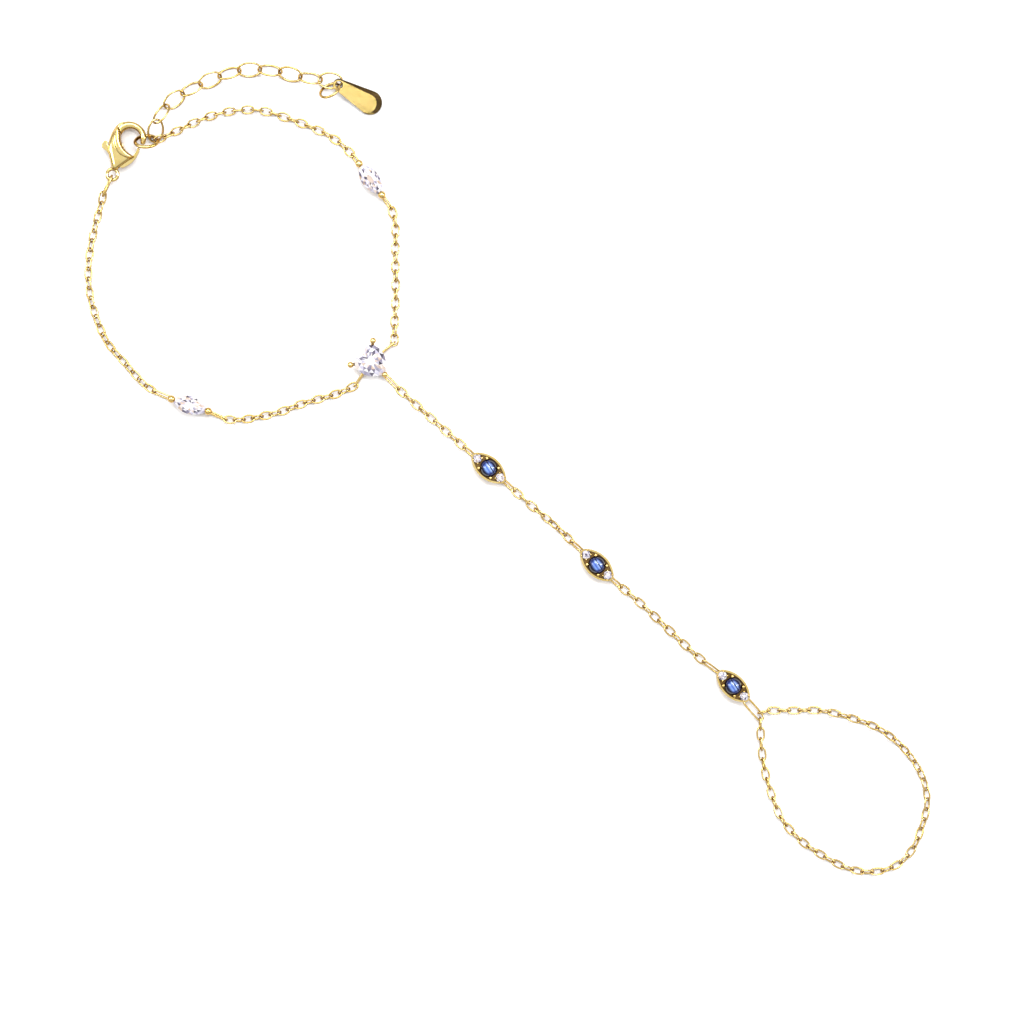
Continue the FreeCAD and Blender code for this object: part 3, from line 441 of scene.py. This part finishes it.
CLASP_TURN = Matrix.Rotation(math.radians(71.57), 4, "Z")
CLASP_PLACE = Matrix.Translation(plan(-65.09, 48.43, 1.35)) @ CLASP_TURN
HOOK_CENTRE = (6.57, -0.94)
HOOK_RADIUS, HOOK_WIRE = 2.14, 0.52
HOOK_FROM, HOOK_TO = -99.4, 108.4
HOOK_STEPS, RIB_STEPS = 60, 20
# The hook's wire swells into a band as it nears the shell: start, reach in degrees, shift and growth
SWELL_FROM, SWELL_REACH = -15.0, 50.0
SWELL_SHIFT, SWELL_WIRE = 0.09, 0.13
# The rib carries the hook on over the shell, and thins by this much a step
RIB_RADIUS, RIB_TO, RIB_THINNING = 2.88, 185.3, 0.016
# The hook's blunt tip: its share of the wire at the very end, and the steps that it takes to fill out
TIP_SHARE, TIP_STEPS = 0.45, 9
# Half height and shoulder's width of the shell, and of the band over it
SHELL_HALF, SHELL_SHOULDER = 0.98, 1.10
BAND_HALF, BAND_SHOULDER = 1.24, 0.50
BASE_RING, BASE_WIRE = 0.90, 0.29
# Half heights of the slot and of the lever in it, and the lever's hub
SLOT_HALF, LEVER_HALF = 0.45, 0.34
PIVOT, HUB_RADIUS, HUB_SIDES = (1.95, -0.35), 0.55, 36
# Voxel size and smoothing passes of each casting
SHELL_CAST, LEVER_CAST = (0.05, 3), (0.04, 5)

shell_points = outline((0.80, 0.36), (
    ((2.15, 1.20), (3.30, 1.88)),
    ((5.30, 2.30), (7.45, 2.02)),
    ((8.40, 1.55), (8.95, 0.70)),
    ((7.75, 0.98), (6.45, 0.62)),
    ((4.95, -0.34), (4.04, -2.76)),
    ((2.30, -1.42), (0.80, -0.36)),
    ((0.80, 0.36),),
))
# The hook's band runs on over the shell down to the shell's corner, above a crease
band_points = outline((7.85, 1.42), (
    ((7.20, 0.92), (6.45, 0.62)),
    ((4.95, -0.32), (4.02, -2.70)),
    ((3.36, -2.20),),
    ((3.22, -0.60), (3.95, 0.70)),
    ((4.95, 1.42), (6.30, 1.85)),
    ((7.10, 1.80), (7.85, 1.42)),
))
slot_points = (
    (1.32, -3.60), (5.40, -3.60), (5.40, 0.55), (4.45, 1.35), (4.45, 3.20), (1.75, 3.20), (1.35, 0.30),
)

hook_turns = [HOOK_FROM + (HOOK_TO - HOOK_FROM) * i / HOOK_STEPS for i in range(HOOK_STEPS + 1)]
swells = [max(0.0, min(1.0, (turn - SWELL_FROM) / SWELL_REACH)) for turn in hook_turns]
hook_path = [(*on_circle(HOOK_CENTRE, HOOK_RADIUS + SWELL_SHIFT * swell, turn), 0.0)
             for turn, swell in zip(hook_turns, swells)]
fills = [min(1.0, TIP_SHARE + (1 - TIP_SHARE) * math.sqrt(i / TIP_STEPS)) for i in range(HOOK_STEPS + 1)]
hook_radii = [HOOK_WIRE * fill + SWELL_WIRE * swell for fill, swell in zip(fills, swells)]
rib_centre = on_circle(hook_path[-1][:2], RIB_RADIUS, HOOK_TO + 180)
for i in range(1, RIB_STEPS + 1):
    turn = HOOK_TO + (RIB_TO - HOOK_TO) * i / RIB_STEPS
    hook_path.append((*on_circle(rib_centre, RIB_RADIUS, turn), 0.0))
    hook_radii.append(HOOK_WIRE + SWELL_WIRE - RIB_THINNING * i)

body = bmesh.new()
cushion(body, shell_points, SHELL_HALF, SHELL_SHOULDER)
cushion(body, band_points, BAND_HALF, BAND_SHOULDER)
tube(body, hook_path, hook_radii)
torus(body, BASE_RING, BASE_WIRE)
clasp = finished("clasp_shell", body, cast_gold, CLASP_PLACE)
slot_form = bmesh.new()
prism(slot_form, slot_points, -SLOT_HALF, SLOT_HALF)
cast_form(clasp, *SHELL_CAST, finished("slot_form", slot_form, cast_gold, CLASP_PLACE))
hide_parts("clasp_body")
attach(clasp, "bracelet")

gate_points = outline((1.50, -1.20), (
    ((3.20, -2.62), (5.35, -2.98)),
    ((5.52, -2.78), (5.35, -2.55)),
    ((4.20, -2.38), (2.90, -1.20)),
    ((2.10, 0.10),),
    ((1.50, -0.40),),
    ((1.50, -1.20),),
))
thumb_points = outline((1.68, -0.12), (
    ((3.35, 2.12),),
    ((3.55, 2.75),),
    ((3.92, 3.12), (4.55, 3.05)),
    ((4.98, 2.72), (4.62, 2.38)),
    ((3.90, 1.88),),
    ((2.28, -0.52),),
    ((1.68, -0.12),),
))
hub_points = [on_circle(PIVOT, HUB_RADIUS, 360 / HUB_SIDES * i) for i in range(HUB_SIDES)]
lever_form = bmesh.new()
for points in (gate_points, thumb_points, hub_points):
    prism(lever_form, points, -LEVER_HALF, LEVER_HALF)
lever = finished("clasp_lever_skin", lever_form, cast_gold, CLASP_PLACE)
cast_form(lever, *LEVER_CAST)
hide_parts("clasp_lever")
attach(lever, "clasp_lever")


# Cut stones: rings of facets from the girdle up to a small table, and a pavilion down to the culet

# Shares of a stone's depth: its crown, the half height of its girdle's band, and its pavilion
CROWN, GIRDLE_BAND, PAVILION = 0.30, 0.05, 0.70
# Rings of the crown: share of the outline, share of the crown's height, and whether the ring's
# corners lie halfway between the outline's
CROWN_RINGS = ((0.80, 0.62, True), (0.56, 0.94, False), (0.30, 0.99, True))
# Leans the facets' chance values towards the dark end of their painted reflections
FACET_LEAN = 1.15


def facet_stone(name, node, points, girdle, depth, place, seed):
    levels = [(1.0, girdle - GIRDLE_BAND * depth, False), (1.0, girdle + GIRDLE_BAND * depth, False)]
    levels += [(scale, girdle + rise * CROWN * depth, between) for scale, rise, between in CROWN_RINGS]
    bm = bmesh.new()
    count = len(points)
    rings = []
    for scale, height, between in levels:
        ring = []
        for i in range(count):
            x, y = points[i]
            if between:
                x, y = (x + points[(i + 1) % count][0]) / 2, (y + points[(i + 1) % count][1]) / 2
            ring.append(bm.verts.new((x * scale, y * scale, height)))
        rings.append(ring)
    culet = bm.verts.new((0, 0, girdle - PAVILION * depth))
    for lower, upper, (_, _, low_step), (_, _, high_step) in zip(rings, rings[1:], levels, levels[1:]):
        for i in range(count):
            j = (i + 1) % count
            if low_step == high_step:
                bm.faces.new((lower[i], lower[j], upper[j], upper[i]))
            elif high_step:
                bm.faces.new((lower[i], lower[j], upper[i]))
                bm.faces.new((upper[i], lower[j], upper[j]))
            else:
                bm.faces.new((lower[i], upper[j], upper[i]))
                bm.faces.new((lower[i], lower[j], upper[j]))
    bm.faces.new(rings[-1])
    for i in range(count):
        bm.faces.new((rings[0][(i + 1) % count], rings[0][i], culet))
    made = finished(name, bm, clear_stone, place, smooth=False)
    # Each facet gets a chance value that picks its painted reflection
    chance = random.Random(seed)
    values = made.data.attributes.new("facet_reflection", "FLOAT", "FACE")
    values.data.foreach_set("value", [chance.random() ** FACET_LEAN for _ in made.data.polygons])
    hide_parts(node)
    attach(made, "bracelet")


def marquise_points(half_length, half_width, sides):
    # Two equal arcs that meet in points
    radius = (half_length ** 2 + half_width ** 2) / (2 * half_width)
    reach = math.asin(half_length / radius)
    half = sides // 2
    upper = []
    for i in range(half):
        turn = reach - 2 * reach * i / half
        upper.append((radius * math.sin(turn), radius * math.cos(turn) - (radius - half_width)))
    return upper + [(-x, -y) for x, y in upper]


def turned(x, y, degrees):
    # The place of a piece that lies level, turned in plan
    return Matrix.Translation(plan(x, y, 0.0)) @ Matrix.Rotation(math.radians(degrees), 4, "Z")


# Half of the heart's outline, from its point round one lobe to the cleft
HEART_HALF = (
    (3.15, 0.00), (2.72, 0.85), (1.95, 1.68), (0.85, 2.32), (-0.35, 2.52), (-1.35, 2.30),
    (-1.98, 1.70), (-2.10, 0.95), (-1.50, 0.00),
)
heart_points = list(HEART_HALF) + [(x, -y) for x, y in HEART_HALF[-2:0:-1]]
# Girdle height and depth of each kind of stone
HEART_SIZES, MARQUISE_SIZES, SIDE_SIZES = (1.85, 2.30), (1.70, 1.80), (1.80, 0.90)
MARQUISE_HALVES, MARQUISE_SIDES = (3.0, 1.5), 16
SIDE_RADIUS, SIDE_CORNERS, SIDE_OFFSET = 0.75, 8, 2.45
# Where the stones lie: letter, x, y, yaw in degrees, seed of the facets' painted reflections
HEART_PLACE, HEART_SEED = (-22.61, 17.74, -43.0), 11
MARQUISE_PLACES = (
    ("a", -52.30, 10.48, -18.4, 3),
    ("b", -22.61, 47.60, -54.0, 8),
)
EYE_PLACES = (
    ("a", -3.17, 0.12, -40.0, 21),
    ("b", 14.62, -15.81, -43.5, 34),
    ("c", 37.04, -35.72, -43.7, 55),
)

facet_stone("heart_cut", "heart_stone", heart_points, *HEART_SIZES, turned(*HEART_PLACE), HEART_SEED)
marquise_outline = marquise_points(*MARQUISE_HALVES, MARQUISE_SIDES)
for letter, x, y, yaw, seed in MARQUISE_PLACES:
    facet_stone("marquise_cut_" + letter, "marquise_stone_" + letter,
                marquise_outline, *MARQUISE_SIZES, turned(x, y, yaw), seed)
side_points = [on_circle((0, 0), SIDE_RADIUS, 360.0 / SIDE_CORNERS * i) for i in range(SIDE_CORNERS)]
for letter, x, y, yaw, seed in EYE_PLACES:
    for i, (label, offset) in enumerate((("near", -SIDE_OFFSET), ("far", SIDE_OFFSET))):
        place = turned(x, y, yaw) @ Matrix.Translation((offset, 0, 0))
        facet_stone("side_cut_%s_%s" % (label, letter), "side_stone_%s_%s" % (label, letter),
                    side_points, *SIDE_SIZES, place, seed + i)


# Teardrop tag: a bevelled plate with a hole in its lug

TAG_PLACE = (
    Matrix.Translation(plan(-27.794, 63.151, 1.498))
    @ Matrix.Rotation(math.radians(-28.8), 4, "Z")
    @ Matrix.Rotation(math.radians(9.1), 4, "Y")
    @ Matrix.Rotation(math.radians(0.3), 4, "X")
)
TAG_LUG, TAG_ROUND, TAG_REACH, TAG_HOLE = 1.02, 2.00, 5.85, 0.58
TAG_HALF = 0.225
TAG_EDGE_ANGLE = math.radians(4)
LUG_STEPS, ROUND_STEPS, HOLE_STEPS = 40, 70, 48
# The bevel is narrower round the lug: its share of the inset, and of the shift along and across
LUG_INSET, LUG_SHIFT = 0.3, (0.1, 0.3)
# The plate's edge from its back to its front: inset, height as a share of the half thickness, shift.
# The shift makes the front's bevel wide along the upper and far edges and narrow along the lower one
EDGE_PROFILE = (
    (0.13, -1.0, 0.0),
    (0.03, -0.55, 0.0),
    (0.0, -0.1, 0.0),
    (0.03, 0.45, 0.0),
    (0.46, 1.0, 0.36),
)
# The hole's wall from back to front: how far its lip opens, height as above
HOLE_PROFILE = ((0.06, -1.0), (0.0, -0.6), (0.0, 0.6), (0.06, 1.0))
# Where the front's bevel gets a painted dark reflection: above this line, or past this much beyond the wide
# end's centre
DARK_REFLECTION_ABOVE, DARK_REFLECTION_PAST = 0.15, 1.2


def tag_edge_ring(inset, height, shift):
    # The lug's arc, then the wide end's
    lean = math.degrees(math.acos((TAG_LUG - TAG_ROUND) / TAG_REACH))
    ring = []
    for i in range(LUG_STEPS + 1):
        x, y = on_circle((0, 0), TAG_LUG - inset * LUG_INSET, lean + (360 - 2 * lean) * i / LUG_STEPS)
        ring.append((x - shift * LUG_SHIFT[0], y - shift * LUG_SHIFT[1], height * TAG_HALF))
    for i in range(ROUND_STEPS + 1):
        x, y = on_circle((TAG_REACH, 0), TAG_ROUND - inset, -lean + 2 * lean * i / ROUND_STEPS)
        ring.append((x - shift, y - shift, height * TAG_HALF))
    return ring


def tag_hole_ring(lip, height):
    return [(*on_circle((0, 0), TAG_HOLE + lip, 360 * i / HOLE_STEPS), height * TAG_HALF)
            for i in range(HOLE_STEPS)]


def loft(bm, rings):
    # Joins closed rings of equally many points by a band of faces
    made = [[bm.verts.new(point) for point in ring] for ring in rings]
    for first, second in zip(made, made[1:]):
        for i in range(len(first)):
            j = (i + 1) % len(first)
            bm.faces.new((first[i], first[j], second[j], second[i]))
    return made


tag_form = bmesh.new()
edge_rings = loft(tag_form, [tag_edge_ring(*row) for row in EDGE_PROFILE])
hole_rings = loft(tag_form, [tag_hole_ring(*row) for row in HOLE_PROFILE])
# The plate's faces, between its edge and the hole
for outer, inner in ((edge_rings[0], hole_rings[0]), (edge_rings[-1], hole_rings[-1])):
    loop_edges = []
    for ring in (outer, inner):
        for i in range(len(ring)):
            loop_edges.append(tag_form.edges.get((ring[i], ring[(i + 1) % len(ring)])))
    bmesh.ops.triangle_fill(tag_form, edges=loop_edges, use_beauty=True)
upper_bevel = set(edge_rings[-1]) | set(edge_rings[-2])
# The front's upper bevel on these sides takes the painted dark reflection
for face in tag_form.faces:
    middle = face.calc_center_median()
    dark = middle.y > DARK_REFLECTION_ABOVE or middle.x > TAG_REACH + DARK_REFLECTION_PAST
    face.material_index = int(dark and len(face.verts) == 4 and upper_bevel.issuperset(face.verts))
tag = finished("tag_plate", tag_form, tag_gold, TAG_PLACE)
# Second material: the painted dark reflection on the bevel
tag.data.materials.append(tag_dark_reflection)
tag.data.set_sharp_from_angle(angle=TAG_EDGE_ANGLE)
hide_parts("extender_tag")
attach(tag, "bracelet")


# Floor, light and camera

scene.view_settings.view_transform = "Standard"

# Half side of the floor in metres, and how far in millimetres it lies below the bracelet's surface
FLOOR_HALF = 2.0
FLOOR_DROP = 0.03
FLOOR_COLOUR = (0.96, 0.96, 0.96, 1.0)
floor_mesh = bpy.data.meshes.new("floor")
floor_mesh.from_pydata(
    [(-FLOOR_HALF, -FLOOR_HALF, 0), (FLOOR_HALF, -FLOOR_HALF, 0), (FLOOR_HALF, FLOOR_HALF, 0),
     (-FLOOR_HALF, FLOOR_HALF, 0)], [], [(0, 1, 2, 3)])
floor = bpy.data.objects.new("floor", floor_mesh)
floor.location.z = -FLOOR_DROP * MM
scene.collection.objects.link(floor)
floor_material, floor_tree, floor_shader = new_material("pale_floor")
floor_shader.inputs["Base Color"].default_value = FLOOR_COLOUR
floor_shader.inputs["Roughness"].default_value = 0.9
floor_shader.inputs["Specular IOR Level"].default_value = 0.1
floor_mesh.materials.append(floor_material)

# The room is bright overhead and dimmer below, so that metal shows its form
world = bpy.data.worlds.new("studio")
scene.world = world
world.use_nodes = True
sky = world.node_tree
background = sky.nodes["Background"]
direction = sky.nodes.new("ShaderNodeTexCoord")
split = sky.nodes.new("ShaderNodeSeparateXYZ")
sky.links.new(direction.outputs["Generated"], split.inputs["Vector"])
height = ranged(sky, split.outputs["Z"], 0.0, 1.0, -1.0, 1.0)
glow = ramp(sky, height, (0.48, (0.30, 0.29, 0.28)), (0.66, (0.42, 0.41, 0.40)),
            (0.80, (0.85, 0.85, 0.86)), (1.0, WHITE))
sky.links.new(glow, background.inputs["Color"])
background.inputs["Strength"].default_value = 0.95

# Soft lights aimed at the origin: name, place in metres, width, length, power in watts
LIGHTS = (
    ("key", (-0.10, 0.42, 0.62), 0.50, 0.30, 2.5),
    ("side", (0.46, 0.06, 0.34), 0.10, 0.36, 1.3),
    ("fill", (-0.46, 0.10, 0.36), 0.10, 0.36, 1.1),
    ("window", (0.05, 0.13, 0.40), 0.16, 0.07, 0.6),
)
for name, place, width, length, power in LIGHTS:
    light = bpy.data.lights.new(name, "AREA")
    light.shape = "RECTANGLE"
    light.size, light.size_y = width, length
    light.energy = power
    lamp = bpy.data.objects.new(name, light)
    lamp.location = place
    lamp.rotation_euler = (-Vector(place)).to_track_quat("-Z", "Y").to_euler()
    scene.collection.objects.link(lamp)

# The camera looks straight down on the photograph's middle; widths and places in millimetres
IMAGE_WIDTH = 168.96
VIEW_CENTRE = (0.734, -7.077)
LENS, SENSOR = 100.0, 36.0
camera_data = bpy.data.cameras.new("camera")
camera_data.lens = LENS
camera_data.sensor_width = SENSOR
camera_data.clip_start, camera_data.clip_end = 0.01, 10.0
camera = bpy.data.objects.new("camera", camera_data)
camera.location = (VIEW_CENTRE[0] * MM, VIEW_CENTRE[1] * MM, IMAGE_WIDTH * LENS / SENSOR * MM)
scene.collection.objects.link(camera)
scene.camera = camera
